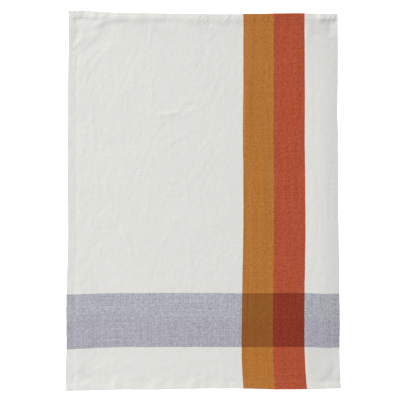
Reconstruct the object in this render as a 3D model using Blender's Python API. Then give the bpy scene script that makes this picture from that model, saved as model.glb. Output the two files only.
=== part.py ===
"""Tea towel: one piece of striped woven cotton, hemmed on four sides, laid flat and face up.

Metres, +X to the cloth's right, +Y towards its top hem, +Z up. The origin lies under the
middle of the cloth, on the surface that it rests on.

A place on the cloth is given as `across`, from the left edge, and `down`, from the top edge,
both measured on the cloth as it was sewn. The pull tables move it to where it lies, and the
fold table gives the soft ridges that stand up from the surface.
"""

import math

import bmesh
import bpy

MM = 0.001

# The sewn cloth
WIDTH = 0.500
LENGTH = 0.700
PANEL_THICKNESS = 1.0 * MM

# The hem: cloth turned under twice and held by one row of stitches
HEM_WIDTH = 15.0 * MM
HEM_TURN_THICKNESS = 1.0 * MM      # the two turned layers under the panel
STITCH_FROM_EDGE = 12.5 * MM
STITCH_DIP = 0.35 * MM
STITCH_DIP_HALF_WIDTH = 1.5 * MM
TURNED_EDGE_STEP = 0.4 * MM        # the turned-in edge drops to the surface in this width
HEM_TO_FLOOR = 32.0 * MM           # the panel comes down from the hem over this distance
EDGE_ROLL = 0.7 * MM               # plan width of the rounded outer edge
EDGE_ROLL_FACE = 0.55 * MM         # how far its face and its underside are rounded off
EDGE_ROLL_UNDER = 0.35 * MM

# The woven stripes: two upright ones side by side, and one that crosses them
OCHRE_LEFT = 0.3245
OCHRE_WIDTH = 0.0575
RED_WIDTH = 0.055
BLUE_TOP = 0.520
BLUE_WIDTH = 0.101
OCHRE_RIGHT = OCHRE_LEFT + OCHRE_WIDTH
RED_RIGHT = OCHRE_RIGHT + RED_WIDTH
BLUE_BOTTOM = BLUE_TOP + BLUE_WIDTH

# Mesh lines: the hem's own, measured from the edge, and an even spacing between them
HEM_LINES = (
    0.0,
    EDGE_ROLL,
    HEM_WIDTH * 0.4,
    STITCH_FROM_EDGE - STITCH_DIP_HALF_WIDTH,
    STITCH_FROM_EDGE,
    STITCH_FROM_EDGE + STITCH_DIP_HALF_WIDTH,
    HEM_WIDTH,
    HEM_WIDTH + TURNED_EDGE_STEP,
    HEM_WIDTH + HEM_TO_FLOOR * 0.2,
    HEM_WIDTH + HEM_TO_FLOOR * 0.5,
    HEM_WIDTH + HEM_TO_FLOOR,
)
PANEL_LINE_SPACING = 13.0 * MM

# Sideways pull of four upright lines of the cloth, to the right, in mm
#   down, left edge, ochre's left side, red's right side, right edge
SIDEWAYS_LINES = (0.0, OCHRE_LEFT, RED_RIGHT, WIDTH)
SIDEWAYS_PULL = (
    (0, 1.2, 0.0, -0.3, -2.0),
    (60, 1.2, 0.1, -0.3, -1.2),
    (130, -0.4, 0.0, -0.3, -1.6),
    (180, -0.3, -0.7, -0.2, -2.4),
    (230, -0.8, -1.1, -0.1, -1.0),
    (320, -0.5, 0.0, 1.0, -0.7),
    (420, 0.0, -0.6, 1.4, 0.5),
    (520, -3.3, -2.3, -0.5, 1.2),
    (575, -0.4, -3.1, -0.5, 1.1),
    (620, -2.4, -3.4, -0.3, 1.7),
    (665, -5.2, -1.9, 1.4, 2.7),
    (700, -4.5, 0.1, 4.6, 4.0),
)

# Endways pull of four level lines of the cloth, towards the top, in mm
#   across, top edge, blue's top side, blue's bottom side, bottom edge
ENDWAYS_LINES = (0.0, BLUE_TOP, BLUE_BOTTOM, LENGTH)
ENDWAYS_PULL = (
    (0, 1.3, -3.5, -4.8, -1.9),
    (25, 1.0, -3.1, -3.2, -1.3),
    (60, -1.8, -1.6, -1.7, -1.5),
    (150, -3.6, -0.8, 0.0, 0.2),
    (250, -5.5, -0.6, 0.0, 2.0),
    (330, -4.7, -0.6, 0.0, 2.3),
    (385, -3.6, 0.0, 0.2, 0.6),
    (440, -3.7, -0.6, -0.1, 1.3),
    (475, -4.6, -2.0, -1.0, 2.2),
    (500, -4.4, -1.5, -0.3, 3.0),
)

# Soft ridges that the laid cloth keeps, in mm
#   from across, from down, to across, to down, half width, height
FOLDS = (
    (50, 26, 132, 20, 9, 0.9),       # beside the top hem
    (18, 64, 66, 24, 9, 1.3),        # slants into the top left corner
    (28, 104, 78, 62, 12, 1.0),
    (154, 122, 157, 186, 9, 0.8),    # short creases in the white field
    (172, 196, 210, 188, 9, 1.0),
    (210, 188, 238, 168, 9, 1.0),
    (186, 390, 202, 434, 10, 0.8),
    (108, 408, 126, 456, 10, 0.8),
    (26, 684, 86, 654, 10, 1.2),     # slants into the bottom left corner
    (471, 680, 490, 628, 11, 1.4),   # slants into the bottom right corner
    (454, 84, 462, 515, 16, 1.4),    # long ridge beside the right hem
    (438, 48, 452, 18, 9, 0.9),
    (20, 498, 44, 604, 14, 1.0),     # slack cloth beside the left hem
)
LEAST_LIFT = 0.08 * MM               # cloth closer than this to the surface lies on it

CLOTH_COLOURS = {
    "white_cotton": (0.74, 0.73, 0.70, 1.0),
    "ochre_stripe": (0.44, 0.17, 0.04, 1.0),
    "red_stripe": (0.42, 0.08, 0.04, 1.0),
    "blue_band": (0.41, 0.41, 0.46, 1.0),
    "blue_over_ochre": (0.27, 0.09, 0.02, 1.0),
    "blue_over_red": (0.25, 0.04, 0.02, 1.0),
}
CLOTH_ROUGHNESS = 0.9


def smooth_reading(rows, station, column):
    """Read one column of a table at a station, along a smooth curve through its rows."""
    last = len(rows) - 1
    row = max(i for i in range(last) if i == 0 or rows[i][0] <= station)
    span = rows[row + 1][0] - rows[row][0]
    part = min(max((station - rows[row][0]) / span, 0.0), 1.0)

    def slope(i):
        before, after = rows[max(i - 1, 0)], rows[min(i + 1, last)]
        return (after[column] - before[column]) / (after[0] - before[0]) * span

    start, end = rows[row][column], rows[row + 1][column]
    square, cube = part ** 2, part ** 3
    return (
        (2 * cube - 3 * square + 1) * start
        + (cube - 2 * square + part) * slope(row)
        + (3 * square - 2 * cube) * end
        + (cube - square) * slope(row + 1)
    )


def pull(lines, rows, place, station):
    """Pull of the cloth at a place between the lines, at a station along them."""
    line = max(i for i in range(len(lines) - 1) if i == 0 or lines[i] <= place)
    part = (place - lines[line]) / (lines[line + 1] - lines[line])
    near = smooth_reading(rows, station / MM, line + 1)
    far = smooth_reading(rows, station / MM, line + 2)
    return (near + (far - near) * part) * MM


def plan_place(across, down):
    """Where a place on the cloth lies, seen from above."""
    x = across - WIDTH / 2 + pull(SIDEWAYS_LINES, SIDEWAYS_PULL, across, down)
    y = LENGTH / 2 - down + pull(ENDWAYS_LINES, ENDWAYS_PULL, down, across)
    return x, y


def ridge_height(across, down, fold):
    """Height of one soft ridge, which fades with the distance from its line."""
    start_across, start_down, end_across, end_down, half_width, height = (v * MM for v in fold)
    run_across, run_down = end_across - start_across, end_down - start_down
    along = (across - start_across) * run_across + (down - start_down) * run_down
    along = min(max(along / (run_across ** 2 + run_down ** 2), 0.0), 1.0)
    off_across = across - start_across - along * run_across
    off_down = down - start_down - along * run_down
    off = math.hypot(off_across, off_down) / half_width
    return height * math.exp(-off * off)


def fold_lift(across, down):
    """How far the cloth stands off the surface on its soft ridges."""
    lift = sum(ridge_height(across, down, fold) for fold in FOLDS)
    return lift if lift > LEAST_LIFT else 0.0


def hem_support(from_edge):
    """Height at which the hem's turned layers hold the panel, on them and beside them."""
    beyond = (from_edge - HEM_WIDTH) / HEM_TO_FLOOR
    if beyond >= 1.0:
        return 0.0
    return HEM_TURN_THICKNESS * (1 + math.cos(math.pi * max(beyond, 0.0))) / 2


def stitch_dip(from_edge):
    """Depth to which the row of stitches draws the hem in."""
    off = abs(from_edge - STITCH_FROM_EDGE) / STITCH_DIP_HALF_WIDTH
    return STITCH_DIP * max(1.0 - off, 0.0)


def cloth_heights(across, down):
    """Heights of the cloth's face and of its underside."""
    lift = fold_lift(across, down)
    face = PANEL_THICKNESS + lift
    under = lift
    nearest_edge = LENGTH
    for from_edge in (min(across, WIDTH - across), min(down, LENGTH - down)):
        nearest_edge = min(nearest_edge, from_edge)
        face += hem_support(from_edge) - stitch_dip(from_edge)
        if from_edge > HEM_WIDTH + TURNED_EDGE_STEP / 2:
            under += hem_support(from_edge)
    if nearest_edge < EDGE_ROLL / 2:
        face -= EDGE_ROLL_FACE
        under += EDGE_ROLL_UNDER
    return face, under


def mesh_lines(size, stripe_sides):
    """Mesh lines across one direction: the two hems' lines, the stripes' sides, even steps."""
    marks = [HEM_LINES[-1], *stripe_sides, size - HEM_LINES[-1]]
    lines = list(HEM_LINES)
    for start, end in zip(marks, marks[1:]):
        steps = max(1, round((end - start) / PANEL_LINE_SPACING))
        lines += [start + (end - start) * step / steps for step in range(1, steps + 1)]
    return lines + [size - line for line in reversed(HEM_LINES[:-1])]


def stripe_at(across, down):
    """Name of the woven colour at a place."""
    blue = BLUE_TOP < down < BLUE_BOTTOM
    if OCHRE_LEFT < across < OCHRE_RIGHT:
        return "blue_over_ochre" if blue else "ochre_stripe"
    if OCHRE_RIGHT < across < RED_RIGHT:
        return "blue_over_red" if blue else "red_stripe"
    return "blue_band" if blue else "white_cotton"


def cotton_material(name, colour):
    """Matt woven cotton in one colour."""
    material = bpy.data.materials.new(name)
    material.use_nodes = True
    shader = material.node_tree.nodes["Principled BSDF"]
    shader.inputs["Base Color"].default_value = colour
    shader.inputs["Roughness"].default_value = CLOTH_ROUGHNESS
    shader.inputs["Metallic"].default_value = 0.0
    return material


def laid_points(shape, across_lines, down_lines):
    """Points of the face and of the underside, row by row, centred on the origin."""
    rows = [[plan_place(across, down) for across in across_lines] for down in down_lines]
    every_x = [x for row in rows for x, _ in row]
    every_y = [y for row in rows for _, y in row]
    centre_x = (min(every_x) + max(every_x)) / 2
    centre_y = (min(every_y) + max(every_y)) / 2
    face_points, under_points = [], []
    for down, row in zip(down_lines, rows):
        face_row, under_row = [], []
        for across, (x, y) in zip(across_lines, row):
            face, under = cloth_heights(across, down)
            face_row.append(shape.verts.new((x - centre_x, y - centre_y, face)))
            under_row.append(shape.verts.new((x - centre_x, y - centre_y, under)))
        face_points.append(face_row)
        under_points.append(under_row)
    return face_points, under_points


def weave_faces(shape, points, across_lines, down_lines, faces_up):
    """Faces of one side of the cloth, each in the colour woven there."""
    colour_names = list(CLOTH_COLOURS)
    for i in range(len(down_lines) - 1):
        for j in range(len(across_lines) - 1):
            corners = [points[i][j], points[i + 1][j], points[i + 1][j + 1], points[i][j + 1]]
            face = shape.faces.new(corners if faces_up else corners[::-1])
            across = (across_lines[j] + across_lines[j + 1]) / 2
            down = (down_lines[i] + down_lines[i + 1]) / 2
            face.material_index = colour_names.index(stripe_at(across, down))


def rim_of(points):
    """The points around the edge of one side, in order."""
    right = [row[-1] for row in points[1:-1]]
    left = [row[0] for row in points[1:-1]]
    return [*points[0], *right, *points[-1][::-1], *left[::-1]]


def cloth_mesh():
    """The whole towel as one closed sheet: its face, its underside and its rolled edge."""
    across_lines = mesh_lines(WIDTH, (OCHRE_LEFT, OCHRE_RIGHT, RED_RIGHT))
    down_lines = mesh_lines(LENGTH, (BLUE_TOP, BLUE_BOTTOM))
    shape = bmesh.new()
    face_points, under_points = laid_points(shape, across_lines, down_lines)
    weave_faces(shape, face_points, across_lines, down_lines, faces_up=True)
    weave_faces(shape, under_points, across_lines, down_lines, faces_up=False)
    face_rim, under_rim = rim_of(face_points), rim_of(under_points)
    for k in range(len(face_rim)):
        shape.faces.new((face_rim[k - 1], face_rim[k], under_rim[k], under_rim[k - 1]))

    mesh = bpy.data.meshes.new("towel_cloth")
    shape.to_mesh(mesh)
    shape.free()
    for name, colour in CLOTH_COLOURS.items():
        mesh.materials.append(cotton_material(name, colour))
    mesh.shade_smooth()
    mesh.set_sharp_from_angle(angle=math.radians(40))
    return mesh


for old in list(bpy.data.objects):
    bpy.data.objects.remove(old, do_unlink=True)

towel = bpy.data.objects.new("towel_cloth", cloth_mesh())
bpy.context.scene.collection.objects.link(towel)
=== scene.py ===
import math

import bpy
import numpy as np
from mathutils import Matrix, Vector, noise


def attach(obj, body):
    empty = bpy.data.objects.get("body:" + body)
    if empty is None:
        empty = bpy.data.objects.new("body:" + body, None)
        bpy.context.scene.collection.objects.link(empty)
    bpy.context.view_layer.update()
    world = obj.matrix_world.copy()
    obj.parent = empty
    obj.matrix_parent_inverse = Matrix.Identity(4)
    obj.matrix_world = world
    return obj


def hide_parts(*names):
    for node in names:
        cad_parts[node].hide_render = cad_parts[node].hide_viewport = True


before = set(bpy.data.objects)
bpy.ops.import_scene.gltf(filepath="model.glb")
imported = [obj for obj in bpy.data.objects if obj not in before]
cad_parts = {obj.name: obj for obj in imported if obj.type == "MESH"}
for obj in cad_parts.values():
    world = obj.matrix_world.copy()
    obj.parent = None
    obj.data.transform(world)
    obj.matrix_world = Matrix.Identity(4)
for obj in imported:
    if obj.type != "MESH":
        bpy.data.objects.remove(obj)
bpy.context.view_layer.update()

# ----------------
# The cloth: one length of plain-woven off-white cotton, with an ochre and a red stripe in its
# warp and a blue band in its weft. Its four edges are turned under twice, the ends over the
# sides, so the hems are the same cloth. It is laid out by hand and keeps its creases.
# ----------------
MM = 0.001

SEWN_WIDTH = 500 * MM
SEWN_LENGTH = 700 * MM
HEM_ALLOWANCE = 26 * MM  # cloth turned under beyond each finished edge
CUT_WIDTH = SEWN_WIDTH + 2 * HEM_ALLOWANCE
CUT_LENGTH = SEWN_LENGTH + 2 * HEM_ALLOWANCE

# A place on the sewn cloth is `across`, from its left edge, and `down`, from its top edge.
# Where the cloth is turned, the same two run on over the edge as a place on the cut cloth.
OCHRE_LEFT = 324.0 * MM
OCHRE_RIGHT = 379.8 * MM
RED_RIGHT = 436.4 * MM
BLUE_TOP = 519.6 * MM
BLUE_BOTTOM = 620.6 * MM

# Sideways pull of four upright lines of the cloth, to the right, in mm
#   down, left edge, ochre's left side, red's right side, right edge
SIDEWAYS_LINES = (0.0, OCHRE_LEFT, RED_RIGHT, SEWN_WIDTH)
SIDEWAYS_PULL = (
    (0, -0.4, -0.4, 0.2, -2.1),
    (60, -0.3, -0.3, 0.4, -1.7),
    (130, -1.8, -0.4, 0.7, -1.7),
    (180, -1.9, -1.0, 0.6, -2.5),
    (230, -2.1, -1.3, 0.5, -1.5),
    (320, -2.2, -0.4, 1.4, -1.2),
    (420, -1.7, -0.8, 1.7, 0.1),
    (520, -4.5, -2.6, 0.2, 1.3),
    (575, -4.4, -3.4, 0.0, 2.0),
    (620, -4.5, -3.8, 0.2, 1.5),
    (665, -6.2, -2.5, 2.0, 2.3),
    (700, -5.2, -0.4, 4.8, 3.8),
)

# Endways pull of four level lines of the cloth, towards the top, in mm
#   across, top edge, blue's top side, blue's bottom side, bottom edge
ENDWAYS_LINES = (0.0, BLUE_TOP, BLUE_BOTTOM, SEWN_LENGTH)
ENDWAYS_PULL = (
    (0, 1.9, -3.8, -5.1, -1.9),
    (25, 2.7, -3.6, -3.6, -1.1),
    (60, 0.2, -2.1, -2.0, -0.8),
    (105, -1.6, -1.5, -0.5, 0.6),
    (150, -2.2, -1.3, -0.5, 0.0),
    (250, -3.9, -1.3, -0.4, 2.1),
    (330, -4.2, -1.8, -0.6, 2.1),
    (385, -3.2, -1.2, -0.2, 0.6),
    (440, -3.1, -1.1, -0.3, 1.3),
    (475, -3.5, -2.6, -1.4, 2.2),
    (500, -3.6, -2.1, -0.7, 2.9),
)

# Lumps of unevenness: their size across and down, in mm, and a number that keeps kinds apart
EDGE_WANDER = 0.35 * MM  # how far threads and edges wander from their lines
SIDEWAYS_LUMPS = (70, 26, 3.1)
ENDWAYS_LUMPS = (26, 70, 7.7)


def smooth_reading(rows, column, stations):
    """Read one column of a table at stations, along a smooth curve through its rows."""
    table = np.array(rows, float) * MM
    marks, values = table[:, 0], table[:, column]
    padded = np.pad(table, ((1, 1), (0, 0)), "edge")
    steps = padded[2:] - padded[:-2]
    slopes = steps[:, column] / steps[:, 0]
    row = np.clip(np.searchsorted(marks, stations, side="right") - 1, 0, len(marks) - 2)
    span = marks[row + 1] - marks[row]
    part = np.clip((stations - marks[row]) / span, 0.0, 1.0)
    square, cube = part ** 2, part ** 3
    return (
        (2 * cube - 3 * square + 1) * values[row]
        + (cube - 2 * square + part) * slopes[row] * span
        + (3 * square - 2 * cube) * values[row + 1]
        + (cube - square) * slopes[row + 1] * span
    )


def pull(lines, rows, place, station):
    """Pull of the cloth at places between the lines, at stations along them."""
    readings = [smooth_reading(rows, k + 1, station) for k in range(len(lines))]
    total = readings[0]
    for k in range(len(lines) - 1):
        part = np.clip((place - lines[k]) / (lines[k + 1] - lines[k]), 0.0, 1.0)
        total = total + (readings[k + 1] - readings[k]) * part
    return total


def rumple(across, down, size_across, size_down, layer):
    """Smooth uneven values from -1 to 1, with lumps of about the given sizes."""
    points = zip((across / (size_across * MM)).ravel(), (down / (size_down * MM)).ravel())
    values = [noise.noise((a, d, layer)) for a, d in points]
    return np.array(values).reshape(across.shape)


def plan_place(across, down):
    """Where places on the cloth lie, seen from above."""
    x = across - SEWN_WIDTH / 2 + pull(SIDEWAYS_LINES, SIDEWAYS_PULL, across, down)
    y = SEWN_LENGTH / 2 - down + pull(ENDWAYS_LINES, ENDWAYS_PULL, down, across)
    x = x + EDGE_WANDER * rumple(across, down, *SIDEWAYS_LUMPS)
    y = y + EDGE_WANDER * rumple(across, down, *ENDWAYS_LUMPS)
    return x, y


# The hems: their widths, which wander a little, and how their layers lie. The panel comes down
# from each hem over the distance in HEM_FALLS.
SIDE_HEMS = (SEWN_WIDTH, "left", "right")
END_HEMS = (SEWN_LENGTH, "top", "bottom")
HEM_WIDTHS = {"left": 17.0 * MM, "right": 16.4 * MM, "top": 17.0 * MM, "bottom": 16.4 * MM}
HEM_WANDERS = (  # wavelength, size, and the wave's start, which moves
    (170 * MM, 0.40 * MM, 0.0, 1.70),  # on by the last number from one hem to the next
    (61 * MM, 0.25 * MM, 1.0, 3.91),
)
LAYER_GAP = 0.70 * MM  # from one layer of cloth to the next in a hem
LEAST_SPACING = 0.35  # layers are pressed no closer than this share of the gap
CORNER_PRESS = 0.48  # share of that gap that is pressed out where hems cross
CROSSING_FALL = 55 * MM  # where hems cross, the extra layers' height fades over this
FOLD_DRAPE = 28 * MM  # a top layer comes down from a fold beneath it over this
SURFACE_CLEARANCE = 0.30 * MM  # hem's underside above the surface, its stitches between
LEAST_CLEARANCE = 0.06 * MM
HEM_FALLS = {"left": 55 * MM, "right": 120 * MM, "top": 55 * MM, "bottom": 55 * MM}
HEM_DIPS = {  # how far the face comes down, from where, to where, in mm
    "left": (0.80, 0, 17), "right": (-1.30, -6, 14), "top": (1.10, 8, 22), "bottom": (0.80, -4, 15)
}

# The cloth swells just inside a hem's stitches. How much, and how hard the thread pulls, varies
# along the hem: a middle, a spread, the least and the most
HEM_SWELLS = {"left": 0.14, "right": 0.08, "top": 0.0, "bottom": 0.0}
HEM_SWELL_AT = 5 * MM
SWELL_LUMPS = (34, 200, 19)
SWELL_VARIES = (0.8, 1.6, 0.0, 1.8)
STITCH_INSIDE_FOLD = 2.2 * MM  # from the hem's inner fold out to its row of stitches
STITCH_PRESS = {"left": 0.12, "right": 0.08, "top": 0.06, "bottom": 0.03}
STITCH_GROOVE = 1.8 * MM  # half width over which stitches pull down that share of the hem
STITCH_LUMPS = (24, 200)
STITCH_VARIES = (0.7, 1.6, 0.1, 1.5)

# Slanting puckers in the hems, in patches
PUCKER_HEIGHTS = {"left": 0.136 * MM, "right": 0.204 * MM, "top": 0.34 * MM, "bottom": 0.34 * MM}
PUCKER_PITCH = 9 * MM
PUCKER_SLANT = 0.7  # how far a pucker runs along the hem for each length inwards
PUCKER_BENDS = 5  # how strongly its lumps shift and bend it
PUCKER_LUMPS = (40, 40)
PUCKER_PATCHES = (55, 90)
PUCKER_PATCH_VARIES = (0.5, 1.6, 0.0, 1.0)


def soft_step(value):
    """From 0 to 1 as value goes from 0 to 1, level at both ends."""
    part = np.clip(value, 0.0, 1.0)
    return part * part * (3 - 2 * part)


def soft_fall(distance, reach):
    """From 1 to 0 as distance goes from 0 to reach, along half a wave."""
    return (1 + np.cos(math.pi * np.clip(distance / reach, 0.0, 1.0))) / 2


def varied(values, middle, spread, least, most):
    """Uneven values set about a middle and kept between two limits."""
    return np.clip(middle + spread * values, least, most)


def hem_width(side, station):
    """Width of one hem at stations along it."""
    width = HEM_WIDTHS[side]
    number = list(HEM_WIDTHS).index(side)
    for wavelength, size, start, next_start in HEM_WANDERS:
        turn = 2 * math.pi * station / wavelength + start + next_start * number
        width = width + size * np.sin(turn)
    return width


def nearer_hem(values, place, hems):
    """From values for every hem, the one for the nearer of two opposite hems."""
    size, first, second = hems
    return np.where(place < size / 2, values[first], values[second])


def from_edges(place, hems, station):
    """Distance inside the nearer of two opposite edges, and the hem's width there."""
    size, first, second = hems
    widths = {side: hem_width(side, station) for side in (first, second)}
    return np.minimum(place, size - place), nearer_hem(widths, place, hems)


def in_hem(beyond):
    """1 in the hem, fading to 0 a little way beyond its inner fold."""
    return 1 - soft_step(beyond / FOLD_DRAPE)


def hem_fall(beyond, place, hems):
    """Share of the hem's height at which the cloth lies beyond its inner fold."""
    return soft_fall(beyond, nearer_hem(HEM_FALLS, place, hems))


def layer_gap(side_beyond, end_beyond):
    """Distance between layers, which are pressed closer where two hems cross."""
    crossing = soft_fall(side_beyond, CROSSING_FALL) * soft_fall(end_beyond, CROSSING_FALL)
    return LAYER_GAP * (1 - CORNER_PRESS * crossing)


def hem_swell(beyond, place, hems, station):
    """Share of the hem's height by which the cloth swells beside its stitches."""
    part = np.maximum(beyond, 0.0) / HEM_SWELL_AT
    uneven = varied(rumple(station, beyond, *SWELL_LUMPS), *SWELL_VARIES)
    return nearer_hem(HEM_SWELLS, place, hems) * uneven * part * np.exp(1 - part)


def hem_dip(inside, beyond, place, hems):
    """How far the face comes down from the hem's edge towards its inner fold."""
    drops = {
        side: drop * MM * soft_step((inside / MM - start) / (end - start))
        for side, (drop, start, end) in HEM_DIPS.items()
    }
    return nearer_hem(drops, place, hems) * hem_fall(beyond, place, hems)


def stitch_pull(inside, hem, place, hems, station, layer):
    """Share of the hem's height that its row of stitches leaves."""
    off = (inside - (hem - STITCH_INSIDE_FOLD)) / STITCH_GROOVE
    tension = varied(rumple(station, inside, *STITCH_LUMPS, layer), *STITCH_VARIES)
    return 1 - nearer_hem(STITCH_PRESS, place, hems) * tension * np.exp(-off * off)


def hem_pucker(inside, hem, place, hems, station, layer):
    """Slanting puckers of the hem, between its edge and its stitches."""
    line = hem - STITCH_INSIDE_FOLD
    swell = np.sin(math.pi * np.clip(inside / line, 0.0, 1.0))
    bend = PUCKER_BENDS * rumple(station, inside, *PUCKER_LUMPS, layer)
    wave = np.sin(2 * math.pi * (station + PUCKER_SLANT * inside) / PUCKER_PITCH + bend)
    patch = varied(rumple(station, inside, *PUCKER_PATCHES, layer + 0.5), *PUCKER_PATCH_VARIES)
    return nearer_hem(PUCKER_HEIGHTS, place, hems) * swell * wave * soft_step(patch)


# Folds and creases, in mm; a height below nothing is a trough
#   from across, from down, to across, to down, half width, height
FOLDS = (
    (18, 64, 66, 30, 9, 0.3),  # slants into the top left corner
    (28, 104, 78, 62, 12, 0.35),
    (154, 122, 157, 186, 9, 0.2),  # short creases in the white field
    (172, 196, 210, 188, 9, 0.2),
    (210, 188, 238, 168, 9, 0.2),
    (186, 390, 202, 434, 10, 0.2),
    (108, 408, 126, 456, 10, 0.2),
    (26, 680, 86, 652, 10, 0.3),  # slants into the bottom left corner
    (438, 48, 452, 18, 9, 0.4),
    (20, 498, 44, 604, 14, 0.5),  # slack cloth beside the left hem
    (32, 646, 29, 688, 10, 0.2),  # and where it comes down from the bottom left corner
    (462, 20, 464, 42, 14, 0.35),  # the same at the top right corner
)
CREASES = (
    # top left corner
    (34, 28, 52, 17, 2.8, -0.18), (26, 34, 44, 22, 2.8, 0.22), (42, 30, 54, 22, 2.8, 0.2),
    (30, 46, 50, 34, 3, -0.16), (18, 60, 30, 46, 3.6, 0.3), (10, 72, 20, 58, 3, 0.24),
    (6, 63, 14, 51, 3, -0.3), (4, 46, 14, 34, 2.8, 0.2), (6, 76, 12, 70, 3, -0.5),
    (46, 64, 62, 54, 7, -0.7), (56, 78, 70, 62, 5, -0.55), (66, 72, 76, 60, 3, 0.24),
    (13, 104, 16, 78, 2.4, 0.3), (16, 106, 18, 80, 2.4, -0.3), (20, 104, 24, 84, 2.6, 0.22),
    (28, 104, 36, 88, 2.8, 0.24), (34, 108, 44, 94, 2.8, -0.22), (38, 94, 50, 84, 3.4, -0.2),
    (84, 54, 88, 40, 2.8, -0.18), (92, 46, 94, 34, 2.6, 0.16), (64, 10, 74, 3, 3, 0.45),
    (261, 8, 262, 20, 3, -0.5), (270, 12, 270, 20, 2.6, -0.42), (104, 18, 118, 30, 3, -0.16),
    # upper field
    (137, 28, 140, 60, 2.6, 0.22), (146, 60, 156, 24, 3, 0.24), (118, 106, 124, 136, 2.8, 0.27),
    (105, 150, 119, 143, 2.8, 0.22), (153, 122, 157, 160, 2.8, 0.3), (160, 126, 164, 160, 2.6, -0.22),
    (164, 178, 171, 190, 2.6, 0.22), (170, 190, 205, 184, 4.2, 0.62), (207, 187, 233, 167, 3, -0.42),
    (186, 182, 226, 160, 3.4, 0.19), (216, 190, 240, 176, 2.8, 0.19), (262, 150, 282, 112, 3.4, 0.27),
    (268, 168, 284, 136, 3, -0.22), (169, 222, 173, 216, 2.4, -0.26), (152, 262, 160, 236, 3.2, -0.3),
    (190, 242, 220, 222, 3, 0.24), (262, 252, 268, 262, 3, 0.3), (72, 214, 84, 236, 3, 0.22),
    (86, 176, 96, 132, 3, 0.22), (66, 58, 62, 110, 3, 0.16), (60, 120, 66, 176, 3, 0.19),
    (44, 196, 50, 262, 3, 0.19), (54, 290, 58, 350, 3.4, 0.22), (228, 40, 236, 92, 3.2, 0.19),
    (252, 132, 262, 60, 3.2, 0.19), (292, 104, 286, 150, 3.2, 0.22), (218, 316, 222, 342, 3.2, 0.24),
    (246, 252, 262, 234, 3, 0.22),
    # middle and lower field
    (196, 384, 202, 388, 3, 0.38), (172, 432, 196, 396, 3, 0.24), (102, 400, 118, 448, 3, 0.32),
    (118, 412, 126, 446, 2.8, -0.24), (222, 478, 228, 486, 3, 0.32), (292, 322, 298, 332, 3, 0.3),
    (70, 318, 82, 362, 3.4, 0.22), (236, 298, 244, 356, 3.4, 0.22), (150, 322, 146, 372, 3.4, 0.22),
    (282, 420, 274, 476, 3.4, 0.22), (224, 440, 232, 506, 3.2, 0.22),
    # bottom left corner
    (45, 668, 61, 658, 3, 0.25), (27, 672, 41, 664, 3.4, -0.2), (17, 666, 18, 676, 3.2, -0.22),
    (21, 676, 20, 690, 3, 0.3), (19, 656, 25, 640, 3, -0.14), (43, 640, 53, 628, 2.8, 0.24),
    (49, 642, 57, 630, 2.8, -0.2), (15, 628, 15, 668, 5, 0.22), (66, 672, 84, 664, 3, 0.18),
    (96, 662, 128, 648, 3.5, 0.18), (236, 680, 254, 672, 2.8, -0.28), (258, 670, 286, 660, 3, 0.18),
    (168, 660, 196, 652, 3.5, 0.18),
    # top right corner
    (472, 45, 484, 50, 4, -0.3), (452, 40, 466, 42, 3, -0.25), (440, 46, 448, 20, 3, 0.28),
    (460, 6, 468, 12, 3, 0.35),
    # right margin
    (446, 96, 450, 210, 4, 0.19), (466, 150, 464, 240, 3.5, 0.19), (462, 262, 468, 330, 3.5, 0.19),
    (452, 300, 456, 396, 4, 0.19), (466, 372, 466, 470, 3.5, 0.19),
)

# Puckers across the end hems, in mm, each softer on one side than on the other
#   place at the hem's edge and at its stitches, half width on its left and right, height
HEM_PUCKERS = {
    "top": (
        (18, 16, 10, 9, -0.75), (29, 23, 3.6, 12, -1.2), (49, 44, 5, 7, 0.6),
        (56, 52, 3, 6, -0.5), (76, 72, 11, 5, -1.0), (80, 79, 3.6, 8, -0.6),
        (90, 87, 4, 9, 0.3), (125, 122, 6, 12, 0.55), (136, 133, 8, 8, 0.5),
        (149, 146, 5, 18, -0.4), (184, 181, 11, 18, -0.9), (208, 204, 6, 14, -0.55),
        (227, 224, 13, 12, 0.7), (241, 239, 4.5, 7, 0.5), (261, 262, 4.5, 7, -0.3),
        (295, 292, 6, 6, 0.55), (301, 299, 3, 8, -0.12), (311, 309, 4, 4, 0.3),
        (346, 348, 3.2, 5, -0.5), (374, 372, 3.4, 5, -0.4), (401, 403, 3.6, 5, 0.45),
        (426, 424, 3, 5, -0.45), (461, 459, 12, 6, -0.75), (466, 464, 5, 6, 0.65),
        (479, 477, 7, 14, -0.95), (498, 495, 7, 5, -1.4),
    ),
    "bottom": (
        (37, 39, 15, 14, 1.25), (88, 91, 7, 12, 1.15), (112, 115, 5, 8, 0.5),
        (138, 141, 5, 14, -0.5), (161, 165, 8, 14, 0.95), (194, 197, 6, 6, 0.45),
        (229, 233, 6.5, 14, 0.95), (243, 245, 4.5, 8, -0.45), (261, 262, 4.5, 10, -0.72),
        (286, 288, 6, 8, 0.4), (296, 298, 5, 9, -0.55), (352, 354, 5, 7, 0.4),
        (391, 393, 5, 7, -0.35), (413, 415, 5, 7, 0.4), (470, 472, 8, 34, -1.3),
    ),
}

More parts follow.
